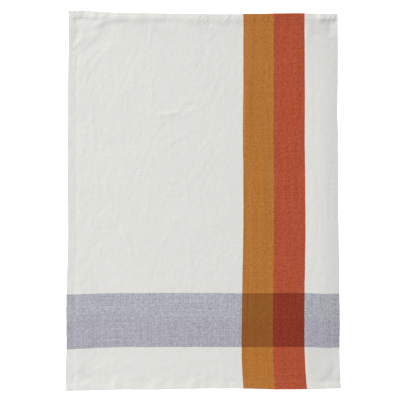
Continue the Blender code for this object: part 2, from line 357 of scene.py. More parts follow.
# Long curved folds, in mm, each softer on one side than on the other
#   half width on its left and on its right, then its points: across, down, height
CURVED_FOLDS = (
    # top left corner: the deep crease, the line along the top hem, the turned-in left hem
    (17, 4.9, (43, 34, 0), (50.5, 28.5, 1.2), (58.5, 23.5, 2.0), (66, 17.8, 2.25),
     (78, 15, 1.45), (98, 11.8, 0.65), (106, 11, 0.5), (140, 10.5, 0.2), (150, 10.5, 0.25),
     (168, 10, 0.4), (182, 10, 0)),
    (24, 2.3, (4, 13.2, 0), (14, 13.2, 0.9), (20, 13, 1.1), (28, 12.8, 0.85),
     (44, 13, 0.6), (60, 13.4, 0)),
    (10, 6, (3, 8, 0), (3, 16, 1.1), (3, 30, 1.1), (3, 37, 0.4), (4, 46, 0)),
    # the top hem stands up between its puckers
    (8, 18, (86, 8, 0), (98, 9, 0.55), (120, 9, 0.8), (156, 9, 0.8), (196, 9, 0.35),
     (214, 9, 0.5), (232, 9, 0.7), (250, 9, 0.6), (268, 9, 0.3), (284, 9, 0.45),
     (314, 9, 0.45), (330, 9, 0)),
    (12, 22, (112, 20, 0), (126, 20, 0.6), (158, 20, 0.6), (190, 20, 0)),
    (12, 22, (226, 20, 0), (238, 20, 0.45), (256, 20, 0.45), (268, 20, 0)),
    # top right corner
    (10, 3.6, (450, 11, 0), (462, 10.5, 0.5), (472, 10.2, 1.1), (480, 9.6, 0.6),
     (488, 8, 0.9), (494, 7.4, 1.4), (504, 7, 1.4)),
    (13, 6.5, (484.5, 12, 0), (484.5, 21, -1.55), (484.5, 32, -1.7), (484, 43, 0)),
    # right side: the hem's edge turns up, and the cloth falls away to the hem
    (6, 12, (501, 44, 0), (501, 58, 0.35), (501, 82, 0.3), (501, 96, 0)),
    (13, 60, (464, 40, 0), (469, 75, 0.6), (470, 180, 0.9), (471, 300, 1.2), (471, 570, 1.25),
     (470, 620, 0.7), (470, 655, 0)),
    # bottom right corner
    (8, 8, (496, 600, 0), (495, 640, -0.65), (493, 654, -0.85), (489, 665, -0.95),
     (484, 674, -0.95), (476, 681, -0.75), (463, 685, -0.4), (448, 687, 0)),
    (6, 12, (501, 616, 0), (501, 640, 0.6), (501, 690, 0.6), (501, 706, 0)),
    # bottom left corner
    (7, 8, (31, 689, 0), (33, 683, -0.8), (39, 676.5, -0.65), (47, 672, -0.25), (62, 667, 0)),
    (26, 10, (18, 590, 0), (18, 625, 0.55), (18, 700, 0.6)),
)

FOLD_REACH = 3  # a straight fold is worked out this many half widths off it
PUCKER_FADE = 14 * MM  # the puckers across an end hem fade over this distance, which
PUCKER_FADE_START = 4.2 * MM  # starts that far outside the hem's inner fold

# Slack and crumple of the whole cloth: lumps, each with its share or strength
CREASE_LEAN = 0.55  # how far most creases run across for each length down
WANDER = 7 * MM  # how far the crumple strays from straight lines
WANDER_ACROSS = (50, 50, 1.3)
WANDER_DOWN = (50, 50, 2.6)
SLACK_HEIGHT = 0.26 * MM
SLACK_LUMPS = (((95, 120, 11), 0.50), ((38, 55, 12), 0.30))
SLACK_MIDDLE = 0.6
CRUMPLE_HEIGHT = 0.14 * MM  # a net of soft creases, leaning and upright
LEANING_NET = (15, 46, 14)
UPRIGHT_NET = (11, 34, 16)
CRUMPLE_TOP = 0.8
LEANING_SHARE = 2.0  # how far each net cuts down from that top
UPRIGHT_SHARE = 1.4
CALM_CRUMPLE = 0.35  # share of the crumple that is left where the cloth is calm
CRINKLE_HEIGHT = 0.045 * MM
CALM_CRINKLE = 0.30
CRINKLE_LUMPS = (5.5, 8, 15)
LIVELY_LUMPS = (85, 85, 13)
LIVELY_VARIES = (0.55, 1.3, 0.0, 1.0)
LIVELY_LEFT = (0.9, 120 * MM, 80 * MM)  # livelier at the left and near the top: how much,
LIVELY_TOP = (0.6, 110 * MM, 60 * MM)  # up to where, and over what distance it comes in

# Small creases from ironing and handling, scattered over the panel, in mm
SMALL_CREASES = 900
SMALL_MARGIN = 20
SMALL_LENGTH = (5.0, 24.0)
SMALL_HALF_WIDTH = (1.8, 2.8)
SMALL_HEIGHT = (0.03, 0.17)
SMALL_HEADINGS = (-0.5, -0.5, 0.0, 0.0, 0.4, 1.4)  # radians from the warp
SMALL_SLANT = 0.25  # how far one strays from those headings
SMALL_SEED = 41


def off_stretch(across, down, start, end):
    """How places lie to a stretch, given in mm: share along it, distance off it, and side."""
    start_across, start_down, end_across, end_down = (v * MM for v in (*start, *end))
    run_across, run_down = end_across - start_across, end_down - start_down
    along = (across - start_across) * run_across + (down - start_down) * run_down
    along = np.clip(along / (run_across ** 2 + run_down ** 2), 0.0, 1.0)
    off_across = across - start_across - along * run_across
    off_down = down - start_down - along * run_down
    on_right = run_across * off_down > run_down * off_across
    return along, np.hypot(off_across, off_down), on_right


def fold_lift(across, down, folds):
    """Height of straight folds, each worked out only where it reaches."""
    lift = np.zeros(across.shape)
    for *ends, half_width, height in folds:
        reach = FOLD_REACH * half_width
        low_across, high_across = sorted(ends[0::2])
        low_down, high_down = sorted(ends[1::2])
        near = (across > (low_across - reach) * MM) & (across < (high_across + reach) * MM)
        near &= (down > (low_down - reach) * MM) & (down < (high_down + reach) * MM)
        if near.any():
            off = off_stretch(across[near], down[near], ends[:2], ends[2:])[1] / MM
            lift[near] += height * MM * np.exp(-(off / half_width) ** 2)
    return lift


def curved_lift(across, down):
    """Height of the curved folds, each worked out from its nearest stretch."""
    lift = np.zeros(across.shape)
    for left_width, right_width, *points in CURVED_FOLDS:
        nearest = np.full(across.shape, np.inf)
        here = np.zeros(across.shape)
        for start, end in zip(points, points[1:]):
            along, off, on_right = off_stretch(across, down, start[:2], end[:2])
            width = np.where(on_right, right_width, left_width) * MM
            height = (start[2] + (end[2] - start[2]) * along) * MM
            here = np.where(off < nearest, height * np.exp(-(off / width) ** 2), here)
            nearest = np.minimum(nearest, off)
        lift = lift + here
    return lift


def pucker_lift(across, down):
    """Height of the puckers that cross the end hems, which fade out beyond the stitches."""
    lift = np.zeros(across.shape)
    inside, hem = from_edges(down, END_HEMS, across)
    near_hem = 1 - soft_step((inside - hem + PUCKER_FADE_START) / PUCKER_FADE)
    for side, puckers in HEM_PUCKERS.items():
        at_side = (down < SEWN_LENGTH / 2) == (side == "top")
        for edge_place, stitch_place, left_width, right_width, height in puckers:
            line = edge_place + (stitch_place - edge_place) * inside / hem
            off = across / MM - line
            width = np.where(off < 0, left_width, right_width)
            lift = lift + near_hem * at_side * height * MM * np.exp(-(off / width) ** 2)
    return lift


def small_creases():
    """Rows like those of the crease table for the scattered creases, ridges and troughs."""
    chance = np.random.default_rng(SMALL_SEED)
    rows = []
    for _ in range(SMALL_CREASES):
        across = chance.uniform(SMALL_MARGIN, SEWN_WIDTH / MM - SMALL_MARGIN)
        down = chance.uniform(SMALL_MARGIN, SEWN_LENGTH / MM - SMALL_MARGIN)
        length = chance.uniform(*SMALL_LENGTH)
        half_width = chance.uniform(*SMALL_HALF_WIDTH)
        height = chance.uniform(*SMALL_HEIGHT) * chance.choice((-1, 1))
        heading = chance.choice(SMALL_HEADINGS) + chance.normal(0.0, SMALL_SLANT)
        run_across, run_down = length * math.sin(heading), length * math.cos(heading)
        rows.append((across, down, across + run_across, down + run_down, half_width, height))
    return tuple(rows)


ALL_CREASES = FOLDS + CREASES + small_creases()


def relief(across, down):
    """How far the cloth stands off its bed: folds, creases, slack and crumple."""
    folds = fold_lift(across, down, ALL_CREASES)
    folds = folds + curved_lift(across, down) + pucker_lift(across, down)
    slack = sum(share * rumple(across, down, *lumps) for lumps, share in SLACK_LUMPS)
    lively = soft_step(varied(rumple(across, down, *LIVELY_LUMPS), *LIVELY_VARIES))
    for place, (more, end, run) in ((across, LIVELY_LEFT), (down, LIVELY_TOP)):
        lively = lively + more * soft_step((end - place) / run)
    wander_across = across + WANDER * rumple(across, down, *WANDER_ACROSS)
    wander_down = down + WANDER * rumple(across, down, *WANDER_DOWN)
    leaning = wander_across + CREASE_LEAN * wander_down
    crumple = CRUMPLE_TOP - LEANING_SHARE * np.abs(rumple(leaning, wander_down, *LEANING_NET))
    upright = np.abs(rumple(wander_across, wander_down, *UPRIGHT_NET))
    crumple = crumple - UPRIGHT_SHARE * upright
    crinkle = rumple(wander_across, wander_down, *CRINKLE_LUMPS)
    return (
        folds
        + SLACK_HEIGHT * (SLACK_MIDDLE + slack)
        + CRUMPLE_HEIGHT * crumple * (CALM_CRUMPLE + (1 - CALM_CRUMPLE) * lively)
        + CRINKLE_HEIGHT * crinkle * (CALM_CRINKLE + (1 - CALM_CRINKLE) * lively)
    )


def hem_stack(across, down):
    """Height that the hems' layers give the face, the share stitches leave, and what is added."""
    rise, press, added, beyonds = 0.0, 1.0, 0.0, []
    for place, station, hems, stitch_layer, pucker_layer in (
        (across, down, SIDE_HEMS, 20.0, 21.0), (down, across, END_HEMS, 28.0, 31.0)
    ):
        inside, hem = from_edges(place, hems, station)
        beyond = inside - hem
        rise = rise + hem_fall(beyond, place, hems) + hem_swell(beyond, place, hems, station)
        press = press * stitch_pull(inside, hem, place, hems, station, stitch_layer)
        added = added + hem_pucker(inside, hem, place, hems, station, pucker_layer)
        added = added - hem_dip(inside, beyond, place, hems)
        beyonds.append(beyond)
    side_beyond, end_beyond = beyonds
    over_fold = in_hem(side_beyond) * soft_fall(end_beyond, CROSSING_FALL)
    height = 2 * layer_gap(side_beyond, end_beyond) * (rise + 2 * over_fold)
    return height, press, added


def face_height(across, down, depth=0.0):
    """Height of the cloth above the surface, at a depth below its face in the hems."""
    height, press, added = hem_stack(across, down)
    share = 1 - np.clip(depth / np.maximum(height, 1e-6), 0.0, 1.0)
    lifted = SURFACE_CLEARANCE + (height - depth) * press + (relief(across, down) + added) * share
    return np.maximum(lifted, LEAST_CLEARANCE + (height - depth) * LEAST_SPACING)


# Mesh lines: steps in each part of a turned hem, shares of its face, and the panel's step
TURN_STEPS = (("tuck", 3), ("inner turn", 3), ("under", 5), ("outer turn", 6))
HEM_FACE_SHARES = (0.0, 0.07, 0.17, 0.30, 0.44, 0.57, 0.68, 0.76, 0.82, 0.87, 0.93)
PANEL_STEP = 2.36 * MM
SIDE_HEM_TONE = -0.018  # a side hem looks a little darker, an end hem lighter
END_HEM_TONE = 0.0054


def turned_line(part, share, hem, gap, stack, level):
    """Where a line of a turned hem lies.

    `stack` is the thickness of what is turned and `level` is this layer's depth in it. Gives
    the distance inside the finished edge, the depth below the face, and the place on the cut
    cloth, which is below nothing once it has gone over the edge.
    """
    outer = (3 * stack + 2 * gap) / 2
    inner = (2 * stack + gap) / 2
    angle = math.pi * share
    if part == "face":
        inside = outer + (hem - outer) * share
        return inside, level, inside
    if part == "outer turn":
        reach = outer - level
        cut = outer - math.pi * outer * share
        return outer - reach * np.sin(angle), outer - reach * np.cos(angle), cut
    cut = outer - math.pi * outer
    run = hem - inner - outer
    if part == "under":
        return outer + run * share, 2 * outer - level, cut - run * share
    cut = cut - run
    if part == "inner turn":
        reach = inner - level
        middle = (4 * stack + 3 * gap) / 2
        inside = hem - inner + reach * np.sin(angle)
        return inside, middle + reach * np.cos(angle), cut - math.pi * inner * share
    cut = cut - math.pi * inner
    run = HEM_ALLOWANCE + cut
    return hem - inner - run * share, stack + gap + level, cut - run * share


def mesh_lines(hems):
    """Lines across one direction of the cut cloth, as (side, part, share)."""
    size, first, second = hems
    turned = [(part, 1 - step / steps) for part, steps in TURN_STEPS for step in range(steps)]
    turned += [("face", share) for share in HEM_FACE_SHARES]
    steps = round((size - HEM_WIDTHS[first] - HEM_WIDTHS[second]) / PANEL_STEP)
    lines = [(first, part, share) for part, share in turned]
    lines += [("panel", "panel", step / steps) for step in range(steps + 1)]
    return lines + [(second, part, share) for part, share in reversed(turned)]


def even_places(lines, hems):
    """Where lines lie, and how far beyond the hems, while the hems' widths don't wander."""
    size, first, second = hems
    edges = {first: 0.0, second: size}
    panel = size - HEM_WIDTHS[first] - HEM_WIDTHS[second]
    return np.array([
        (HEM_WIDTHS[first] + share * panel, min(share, 1 - share) * panel)
        if side == "panel" else (edges[side], 0.0)
        for side, _, share in lines
    ]).T


def laid_lines(lines, hems, station, gap, stack, level):
    """Place each line in one direction: where it lies, its depth, and its place as cut."""
    size, first, second = hems
    widths = {side: hem_width(side, station) for side in (first, second)}
    panel = size - widths[first] - widths[second]
    found = []
    for k, (side, part, share) in enumerate(lines):
        if side == "panel":
            place = widths[first] + panel * share
            found.append((place, level[k], place))
            continue
        laid, depth, cut = turned_line(part, share, widths[side], gap[k], stack[k], level[k])
        if side == second:
            laid, cut = size - laid, size - cut
        found.append((laid, depth, cut))
    return (np.array(values) for values in zip(*found))


def cut_cloth():
    """Every point of the cut cloth: its place as cut, where it lies, and its depth there."""
    columns, rows = mesh_lines(SIDE_HEMS), mesh_lines(END_HEMS)
    column_place, column_beyond = even_places(columns, SIDE_HEMS)
    row_place, row_beyond = even_places(rows, END_HEMS)
    gap = layer_gap(column_beyond[:, None], row_beyond[None, :])
    none = np.zeros_like(gap)
    across, level, cut_across = laid_lines(columns, SIDE_HEMS, row_place, gap, none, none)
    stack = 2 * gap * in_hem(column_beyond)[:, None]
    down, depth, cut_down = laid_lines(rows, END_HEMS, column_place, gap.T, stack.T, level.T)
    return cut_across.T, cut_down, across.T, down, depth


def cloth_mesh():
    """The cut cloth as one sheet, turned at its hems and laid on its folds."""
    cut_across, cut_down, across, down, depth = cut_cloth()
    x, y = plan_place(across, down)
    z = face_height(across, down, depth)
    shift_x, shift_y = (x.min() + x.max()) / 2, (y.min() + y.max()) / 2
    points = np.stack([x - shift_x, y - shift_y, z], axis=-1)

    number = np.arange(across.size).reshape(across.shape)
    faces = np.stack(
        [number[:-1, :-1], number[1:, :-1], number[1:, 1:], number[:-1, 1:]], axis=-1
    )
    mesh = bpy.data.meshes.new("towel_cloth_sheet")
    mesh.from_pydata(points.reshape(-1, 3).tolist(), [], faces.reshape(-1, 4).tolist())
    mesh.shade_smooth()

    side_inside, side_hem = from_edges(across, SIDE_HEMS, down)
    end_inside, end_hem = from_edges(down, END_HEMS, across)
    hem_tone = np.where(side_inside < side_hem, SIDE_HEM_TONE, 0.0)
    hem_tone = np.where(end_inside < end_hem, END_HEM_TONE, hem_tone)
    place = np.stack([cut_across, cut_down, hem_tone], axis=-1).astype(np.float32)
    mesh.attributes.new("cloth", "FLOAT_VECTOR", "POINT").data.foreach_set("vector", place.ravel())

    flat_across = (cut_across + HEM_ALLOWANCE) / CUT_WIDTH
    flat_up = 1 - (cut_down + HEM_ALLOWANCE) / CUT_LENGTH
    flat = np.stack([flat_across, flat_up], axis=-1).reshape(-1, 2)
    corner_points = np.zeros(len(mesh.loops), np.int32)
    mesh.loops.foreach_get("vertex_index", corner_points)
    mesh.uv_layers.new(name="OFBake").data.foreach_set("uv", flat[corner_points].ravel())
    return mesh, (shift_x, shift_y)


# The weave's colours, as the eye sees them from a step away
WHITE_COTTON = (0.701, 0.697, 0.668)
OCHRE_STRIPE = (0.431, 0.163, 0.031)
RED_STRIPE = (0.405, 0.074, 0.0315)
BLUE_BAND = (0.392, 0.392, 0.437)
BLUE_OVER_OCHRE = (0.259, 0.087, 0.0155)
BLUE_OVER_RED = (0.234, 0.030, 0.0128)
FIRST_BLUE_CONE = (1.012, 1.045, 1.020)  # the band's weft comes from two cones of yarn,
SECOND_BLUE_CONE = (0.988, 0.958, 0.984)  # the second a little more violet
CONE_CHANGE = (560 * MM, 576 * MM)
DYE_SHIFT = (0.12, -0.05, -0.70)  # red, green and blue of threads that took more dye

WARP_PITCH = 0.80 * MM
WEFT_PITCH = 0.86 * MM
STRIPE_EDGE = 0.5 * MM  # width over which one colour gives way to the next

# Unevenness of the yarns: size across and down, in mm, layer number, detail
YARN_LUMPS = {
    "warp streak": (1.5, 70, 1, 2),
    "weft streak": (150, 1.5, 2, 2),
    "warp slub": (1.3, 11, 3, 1),
    "weft slub": (6, 1.6, 4, 1),
    "mottle": (3.8, 3.4, 5, 2),
    "cloud": (60, 60, 6, 2),
    "short warp streak": (1.9, 7, 7, 1),
    "short weft streak": (9, 1.9, 8, 1),
    "leaning crinkle": (4, 15, 9, 1),
    "upright crinkle": (3.4, 12, 10, 1),
    "level crinkle": (9, 3.4, 11, 1),
    "crinkle patch": (40, 40, 12, 1),
    "narrow dye streak": (2.6, 260, 13, 1),
    "wide dye streak": (7, 400, 14, 1),
    "broad streak": (5.5, 240, 15, 1),
}
SLUB_RANGE = (0.14, 0.26)  # a slub swells as its lumps rise over this range
WEFT_ON_TOP = (0.12, -0.12)
THREAD_ROUND_POWER = 0.6
THREAD_ROUND_MEAN = 0.6

# How strongly each kind shows in the tone: in the white, and what the other areas add to it, or
# the share of it that they add
STREAK_TONE = {"white": 0.07, "blue": 0.46, "dyed warp": 0.13, "dyed weft": 0.08, "red weft": 0.05}
BROAD_STREAK_TONE = (0.40, 0.11)  # at the ochre's left side, and from this width on
BROAD_STREAK_WIDTH = 25 * MM
MOTTLE_TONE = {"white": 0.04, "blue": 0.62, "ochre": 0.30, "red": 0.40, "crossed": -0.20}
CLOUD_TONE = 0.03
RED_SLUB_TONE = 0.16
BLUE_SLUB_TONE = 0.10
WEFT_TONE = {"white": 0.012, "dyed": 0.05, "blue": -2.6}  # the weft is darker in the blue band
# The threads' crowns are painted lighter and the lines between them darker: painted light and shade
# of their round
THREAD_ROUND_PAINTED_SHADING = 0.05
BARE_WEFT_TONE = 0.12  # off-white weft shows between the stripes' dyed warp, less in the blue
BARE_WEFT_IN_BLUE = -0.45

# Right of the stripes the cloth is painted darker, as painted shade, in the blue band and at both
# ends. It comes in over the first width beside the red stripe, and then changes between the places
# given.
PAINTED_SHADE_RISE = 8 * MM
PAINTED_SHADE_SIDE_END = (478 * MM, 492 * MM)
PAINTED_SHADE_HEAD_START = (12 * MM, 16 * MM)
PAINTED_SHADE_HEAD_HALF = (32 * MM, 52 * MM)
PAINTED_SHADE_HEAD_END = (60 * MM, 130 * MM)
PAINTED_SHADE_FOOT_END = (662 * MM, 682 * MM)
PAINTED_SHADE_HEAD_LEFT = 0.5  # share that is left beyond the half, and beyond the foot's end
PAINTED_SHADE_FOOT_LEFT = 0.35
# how much darker the painted shade makes each part
PAINTED_SHADE_TONE = {"blue": -0.035, "head": -0.075, "foot": -0.060}

# The yarn's roughness, and its relief in mm
ROUGHNESS = {"yarn": 0.88, "streak": 0.12, "round": -0.05}
RELIEF = {"round": 0.10, "streak": 0.10, "slub": 0.05, "crinkle": -0.75}
CRINKLE_PATCH = (-0.15, 0.15, 0.35, 1.0)  # over this range of its lumps, from least to most
RELIEF_STRENGTH = 0.6


def new_finish(name):
    """A new material with its nodes, its links and its shader."""
    material = bpy.data.materials.new(name)
    material.use_nodes = True
    tree = material.node_tree
    return material, tree.nodes, tree.links, tree.nodes["Principled BSDF"]


def set_inputs(node, values):
    """Give inputs of a node their constant values."""
    for name, value in values.items():
        node.inputs[name].default_value = value


def place_in_scene(name, data):
    """A new object with the given shape, lamp or camera, placed in the scene."""
    thing = bpy.data.objects.new(name, data)
    bpy.context.scene.collection.objects.link(thing)
    return thing


def cotton_weave():
    """Plain weave in the stripes' colours, with uneven yarns, slubs and thread relief."""
    material, nodes, links, shader = new_finish("striped_cotton_weave")

    def feed(socket, value):
        if isinstance(value, (int, float)):
            socket.default_value = value
        elif isinstance(value, tuple):
            socket.default_value = (*value, 1.0) if len(socket.default_value) == 4 else value
        else:
            links.new(value, socket)

    def fill(node, *values):
        for socket, value in zip(node.inputs, values):
            feed(socket, value)
        return node.outputs[0]

    def work(operation, *values, clamp=False):
        node = nodes.new("ShaderNodeMath")
        node.operation = operation
        node.use_clamp = clamp
        return fill(node, *values)

    def product(first, *others):
        for value in others:
            first = work("MULTIPLY", first, value)
        return first

    def plus(total, *products):
        for factors in products:
            total = work("ADD", total, product(*factors))
        return total

    def between(*value_and_limits):
        node = nodes.new("ShaderNodeMapRange")
        node.interpolation_type = "SMOOTHSTEP"
        return fill(node, *value_and_limits)

    def blend(share, first, second, way="MIX"):
        node = nodes.new("ShaderNodeMix")
        node.data_type = "RGBA"
        node.blend_type = way
        feed(node.inputs["Factor"], share)
        feed(node.inputs[6], first)
        feed(node.inputs[7], second)
        return node.outputs[2]

    def joined(*values):
        return fill(nodes.new("ShaderNodeCombineXYZ"), *values)

    def uneven(name, lean=0.0):
        size_across, size_down, layer, detail = YARN_LUMPS[name]
        leaning = work("MULTIPLY_ADD", down, lean, across)
        node = nodes.new("ShaderNodeTexNoise")
        set_inputs(node, {"Scale": 1.0, "Detail": detail})
        spot = joined(
            work("DIVIDE", leaning, size_across * MM), work("DIVIDE", down, size_down * MM), layer
        )
        links.new(spot, node.inputs["Vector"])
        return work("SUBTRACT", node.outputs[0], 0.5)

    place = nodes.new("ShaderNodeAttribute")
    place.attribute_name = "cloth"
    parts = nodes.new("ShaderNodeSeparateXYZ")
    links.new(place.outputs["Vector"], parts.inputs[0])
    across, down, hem_tone = parts.outputs

    def edge(value, at, before=0.0, after=1.0):
        return between(value, at - STRIPE_EDGE / 2, at + STRIPE_EDGE / 2, before, after)

    def stripe(value, start, end):
        return product(edge(value, start), edge(value, end, 1, 0))

    dyed_warp = stripe(across, OCHRE_LEFT, RED_RIGHT)
    red_side = edge(across, OCHRE_RIGHT)
    red = product(dyed_warp, red_side)
    ochre = work("SUBTRACT", dyed_warp, red)
    blue = stripe(down, BLUE_TOP, BLUE_BOTTOM)
    crossed_warp = product(blue, dyed_warp)
    white_warp_in_blue = work("SUBTRACT", blue, crossed_warp)
    dyed = work("MAXIMUM", dyed_warp, blue)

    plain = blend(dyed_warp, WHITE_COTTON, blend(red_side, OCHRE_STRIPE, RED_STRIPE))
    crossed = blend(dyed_warp, BLUE_BAND, blend(red_side, BLUE_OVER_OCHRE, BLUE_OVER_RED))
    cone = blend(between(down, *CONE_CHANGE), FIRST_BLUE_CONE, SECOND_BLUE_CONE)
    colour = blend(blue, plain, blend(1, crossed, cone, "MULTIPLY"))

    # threads: which of the two lies on top, and the round of each one
    warp_turn, weft_turn = product(across, math.pi / WARP_PITCH), product(down, math.pi / WEFT_PITCH)
    crossing = product(work("SINE", warp_turn), work("SINE", weft_turn))
    weft_on_top = between(crossing, *WEFT_ON_TOP)
    thread_round = work("POWER", work("ABSOLUTE", crossing), THREAD_ROUND_POWER)

    # yarns: each is thicker or thinner than its neighbours, and has slubs
    warp_streak, weft_streak = uneven("warp streak"), uneven("weft streak")
    warp_slub = between(uneven("warp slub"), *SLUB_RANGE)
    weft_slub = between(uneven("weft slub"), *SLUB_RANGE)
    streaks = plus(STREAK_TONE["white"], (STREAK_TONE["blue"], white_warp_in_blue))
    along_warp = plus(streaks, (STREAK_TONE["dyed warp"], dyed_warp))
    along_weft = plus(
        streaks, (STREAK_TONE["dyed weft"], dyed_warp), (STREAK_TONE["red weft"], red)
    )
    broad = between(across, OCHRE_LEFT, OCHRE_LEFT + BROAD_STREAK_WIDTH, *BROAD_STREAK_TONE)
    mottle = plus(
        MOTTLE_TONE["white"],
        (MOTTLE_TONE["blue"], white_warp_in_blue),
        (MOTTLE_TONE["ochre"], ochre),
        (MOTTLE_TONE["red"], red),
    )
    mottle_share = plus(1, (MOTTLE_TONE["crossed"], crossed_warp))
    weft = plus(WEFT_TONE["white"], (WEFT_TONE["dyed"], dyed))
    weft_share = plus(1, (WEFT_TONE["blue"], blue))

    # painted shade: the strip right of the red stripe is darker in the blue band and at both ends
    right_painted_shade = between(across, RED_RIGHT, RED_RIGHT + PAINTED_SHADE_RISE)
    right_ends_painted_shade = product(right_painted_shade, between(across, *PAINTED_SHADE_SIDE_END, 1, 0))
    head = product(
        between(down, *PAINTED_SHADE_HEAD_START),
        between(down, *PAINTED_SHADE_HEAD_HALF, 1.0, PAINTED_SHADE_HEAD_LEFT),
        between(down, *PAINTED_SHADE_HEAD_END, 1, 0),
    )
    foot = product(
        stripe(down, BLUE_BOTTOM, SEWN_LENGTH + STRIPE_EDGE),
        between(down, *PAINTED_SHADE_FOOT_END, 1.0, PAINTED_SHADE_FOOT_LEFT),
    )

    tone = plus(
        hem_tone,
        (work("ADD", warp_streak, uneven("short warp streak")), along_warp),
        (work("ADD", weft_streak, uneven("short weft streak")), along_weft),
        (uneven("broad streak"), broad, dyed_warp),
        (uneven("cloud"), CLOUD_TONE),
        (uneven("mottle"), mottle, mottle_share),
        (weft_slub, RED_SLUB_TONE, red),
        (warp_slub, BLUE_SLUB_TONE, blue),
        (work("SUBTRACT", weft_on_top, 0.5), weft, weft_share),
        # painted light on the threads' crowns and painted shade between them
        (work("SUBTRACT", thread_round, THREAD_ROUND_MEAN), THREAD_ROUND_PAINTED_SHADING),
        # the painted shade of the strip right of the stripes
        (PAINTED_SHADE_TONE["blue"], right_painted_shade, blue),
        (PAINTED_SHADE_TONE["head"], right_ends_painted_shade, head),
        (PAINTED_SHADE_TONE["foot"], right_ends_painted_shade, foot),
    )
    bare = product(tone, dyed_warp, BARE_WEFT_TONE, plus(1, (BARE_WEFT_IN_BLUE, blue)))
    tone = work("ADD", tone, 1.0)

    # dye: some warp threads of the stripes took it brighter, some duller
    dye = work("ADD", uneven("narrow dye streak"), uneven("wide dye streak"))
    shade = joined(*(product(tone, plus(1, (dye, dyed_warp, shift))) for shift in DYE_SHIFT))
    colour = blend(1, colour, shade, "MULTIPLY")
    links.new(blend(1, colour, joined(bare, bare, bare), "ADD"), shader.inputs["Base Color"])

    roughness = plus(ROUGHNESS["yarn"], (weft_streak, ROUGHNESS["streak"]))
    roughness = work("ADD", roughness, product(thread_round, ROUGHNESS["round"]), clamp=True)
    links.new(roughness, shader.inputs["Roughness"])
    set_inputs(shader, {"Specular IOR Level": 0.15, "Sheen Weight": 0.06, "Sheen Roughness": 0.55})

    crinkle = work("ABSOLUTE", uneven("leaning crinkle", CREASE_LEAN))
    for name in ("upright crinkle", "level crinkle"):
        crinkle = work("ADD", crinkle, work("ABSOLUTE", uneven(name)))
    height = plus(
        product(thread_round, RELIEF["round"]),
        (work("ADD", warp_streak, weft_streak), RELIEF["streak"]),
        (work("ADD", warp_slub, weft_slub), RELIEF["slub"]),
        (crinkle, between(uneven("crinkle patch"), *CRINKLE_PATCH), RELIEF["crinkle"]),
    )
    bump = nodes.new("ShaderNodeBump")
    set_inputs(bump, {"Strength": RELIEF_STRENGTH, "Distance": MM})
    links.new(height, bump.inputs["Height"])
    links.new(bump.outputs[0], shader.inputs["Normal"])
    return material


cloth_shape, laid_shift = cloth_mesh()
cloth_shape.materials.append(cotton_weave())
towel_cloth_sheet = place_in_scene("towel_cloth_sheet", cloth_shape)
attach(towel_cloth_sheet, "root")
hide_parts("towel_cloth")

# ----------------
# The hem stitching. A row of lockstitch in off-white cotton thread holds each hem, near its
# inner fold, and shows as short raised stitches on the face and on the underside. The side
# rows were sewn first, so on the underside they vanish into the turned ends.
# ----------------
STITCH_PITCH = 3.0 * MM
STITCH_LENGTH = 2.5 * MM
ROW_MARGIN = 2 * MM  # a row starts and ends this far from the finished edges
SIDE_UNDER_MARGIN = 17 * MM  # the side rows' underside, which the turned ends cover
THREAD_RADIUS = 0.12 * MM
THREAD_SINK = {"left": 0.2, "right": 0.2, "top": 1.15, "bottom": 0.95}  # in the cloth, in radii
THREAD_SLIP = 0.10 * MM  # how far single stitches stray from the row
SLIP_LUMPS = (2.3, 2.3, 41)
UNDER_CLEARANCE = 0.02 * MM  # from the surface up to the thread on the underside
THREAD_COTTON = (0.74, 0.73, 0.69)
# The thread is painted darker between its plies, as painted shade in the grooves
PLY_PAINTED_SHADE = 0.90  # share of that colour between the thread's plies
PLY_SCALE = 900.0
PLY_DISTORTION = 1.5
PLY_SMOOTHEST = 0.70
PLY_ROUGHEST = 0.85
PLY_DEPTH = 0.05 * MM
PLY_STRENGTH = 0.5
STITCH_SHAPE = (  # place along the stitch, height in radii, thickness
    (0.00, -1.4, 0.70),
    (0.14, 0.0, 1.00),
    (0.50, 0.5, 1.05),
    (0.86, 0.0, 1.00),
    (1.00, -1.4, 0.70),
)
THREAD_SIDES = 6


def seam_line(side, station):
    """Places across and down the cloth along one row of stitches."""
    inside = hem_width(side, station) - STITCH_INSIDE_FOLD
    return {
        "left": (inside, station),
        "right": (SEWN_WIDTH - inside, station),
        "top": (station, inside),
        "bottom": (station, SEWN_LENGTH - inside),
    }[side]


def seam_height(side, across, down, under):
    """Height of the face along a seam, or of the hem's underside."""
    if not under:
        return face_height(across, down)
    side_inside, side_hem = from_edges(across, SIDE_HEMS, down)
    end_inside, end_hem = from_edges(down, END_HEMS, across)
    gap = layer_gap(side_inside - side_hem, end_inside - end_hem)
    crossing = 0.0 if side in SIDE_HEMS else in_hem(side_inside - side_hem)
    depth = np.minimum(2 * gap * (1 + 3 * crossing), hem_stack(across, down)[0])
    return face_height(across, down, depth)


